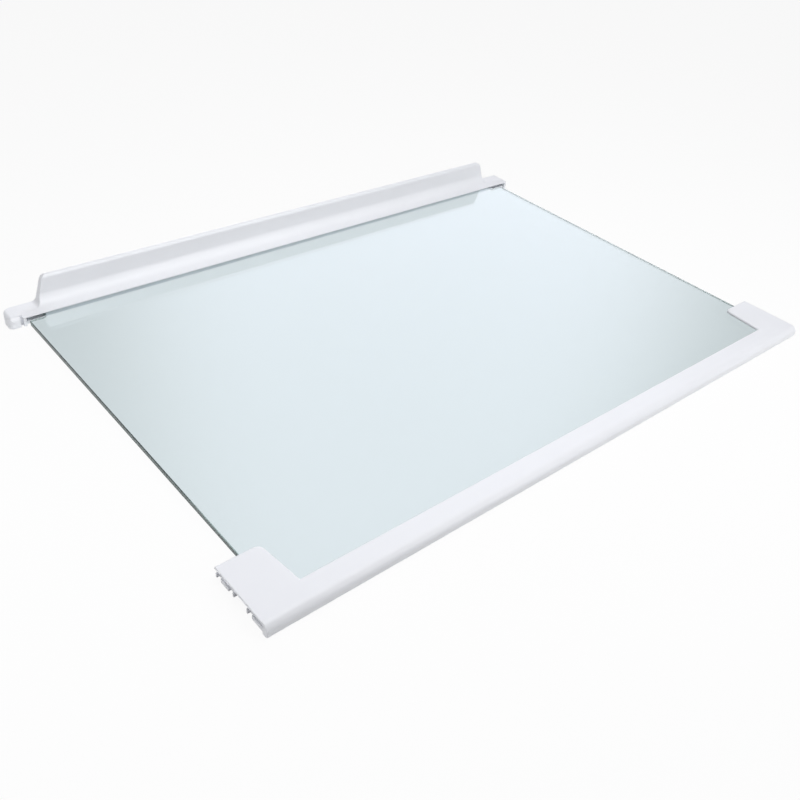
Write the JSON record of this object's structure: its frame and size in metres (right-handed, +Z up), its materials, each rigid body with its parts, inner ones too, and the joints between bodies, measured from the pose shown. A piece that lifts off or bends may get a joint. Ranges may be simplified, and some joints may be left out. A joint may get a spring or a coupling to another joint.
{
  "type": "fridge glass shelf",
  "caption": "Flat glass refrigerator shelf in a white moulded front trim with corner ears and a white rear trim with an upstanding back stop.",
  "frame": {"origin": "on the underside, in the middle of the shelf's bounding box", "axes": "+X to the right along the front edge, +Y from the front trim to the rear trim, +Z up"},
  "size_m": [0.521, 0.355, 0.0291],
  "materials": {
    "glass": "clear, faint green edge",
    "white_plastic": "semi-gloss"
  },
  "bodies": {
    "root": {"glass_pane": "glass", "front_trim": "white_plastic", "rear_trim": "white_plastic"}
  },
  "joints": []
}
